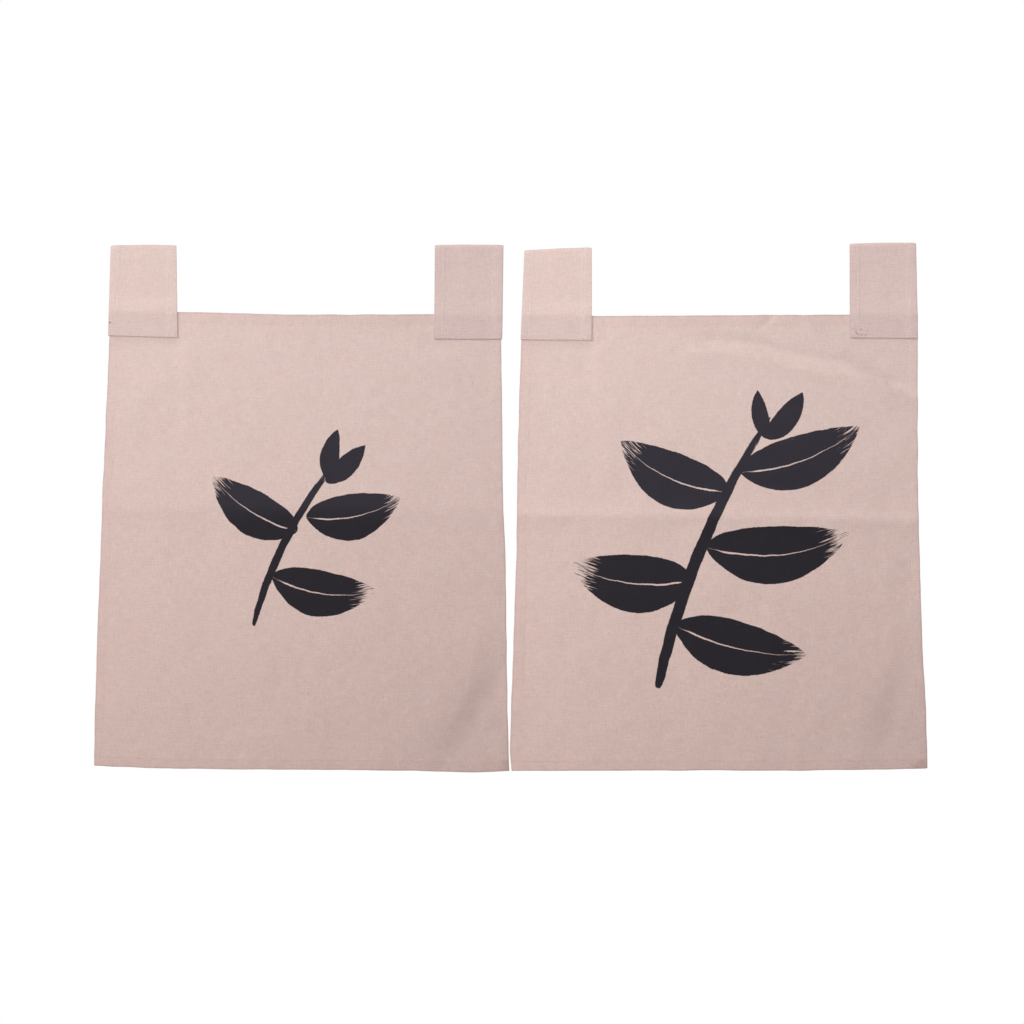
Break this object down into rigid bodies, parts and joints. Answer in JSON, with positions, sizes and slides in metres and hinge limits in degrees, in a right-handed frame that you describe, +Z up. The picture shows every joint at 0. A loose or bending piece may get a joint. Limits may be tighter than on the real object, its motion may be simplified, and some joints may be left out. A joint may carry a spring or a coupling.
{
  "type": "noren curtain",
  "caption": "Short split door curtain: hemmed canvas panels side by side, hung from a rod by wide tab loops sewn over their top corners, with a bold ink-brush leaf print.",
  "frame": {"origin": "on the line that the curtain hangs from, level with the folds of its tabs and halfway along it", "axes": "+X along the hanging line, to the right as seen from the front; +Y to the back, the printed face looks towards -Y; +Z up"},
  "size_m": [0.8504, 0.0313, 0.5395],
  "materials": {
    "canvas": "matt dusty pink plain-woven canvas with a near-black brushed print",
    "tab_canvas": "the same canvas, doubled and plain",
    "thread": "matt sewing thread in the colour of the canvas"
  },
  "bodies": {
    "root": {"panel_left": "canvas", "panel_right": "canvas", "tab_left_outer": "tab_canvas", "tab_left_inner": "tab_canvas", "tab_right_inner": "tab_canvas", "tab_right_outer": "tab_canvas"}
  },
  "joints": []
}
